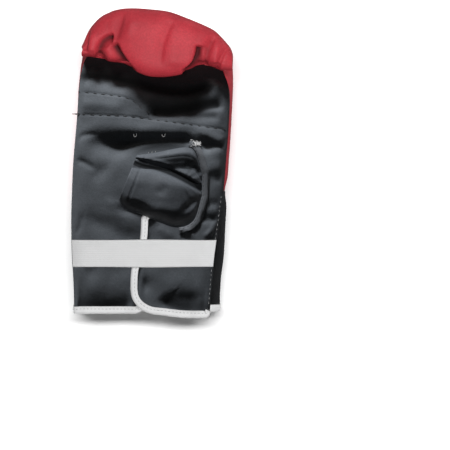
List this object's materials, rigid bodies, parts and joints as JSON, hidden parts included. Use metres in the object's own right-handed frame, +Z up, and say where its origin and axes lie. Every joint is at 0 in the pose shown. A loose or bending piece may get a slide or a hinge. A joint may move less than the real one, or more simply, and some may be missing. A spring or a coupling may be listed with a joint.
{
  "type": "bag glove",
  "caption": "Padded right-hand bag glove lying palm up, with a gathered hood over the fingers, a thumb sleeve, a slit cuff and an elastic.",
  "frame": {"origin": "middle of the underside of the glove's bounding box, on the surface it rests on", "axes": "+Z up out of the palm, +Y towards the fingertips, +X towards the thumb side"},
  "size_m": [0.1485, 0.2801, 0.0659],
  "materials": {
    "red_vinyl": "smooth satin",
    "black_vinyl": "smooth semi-gloss",
    "white_tape": "smooth woven",
    "white_elastic": "ribbed woven"
  },
  "bodies": {
    "root": {"back_pad": "red_vinyl", "cuff_back": "black_vinyl", "palm_panel": "black_vinyl", "slit_tape": "white_tape", "back_tape": "white_tape", "elastic_strap": "white_elastic", "thumb_sleeve": "black_vinyl", "thumb_band": "black_vinyl"}
  },
  "joints": []
}
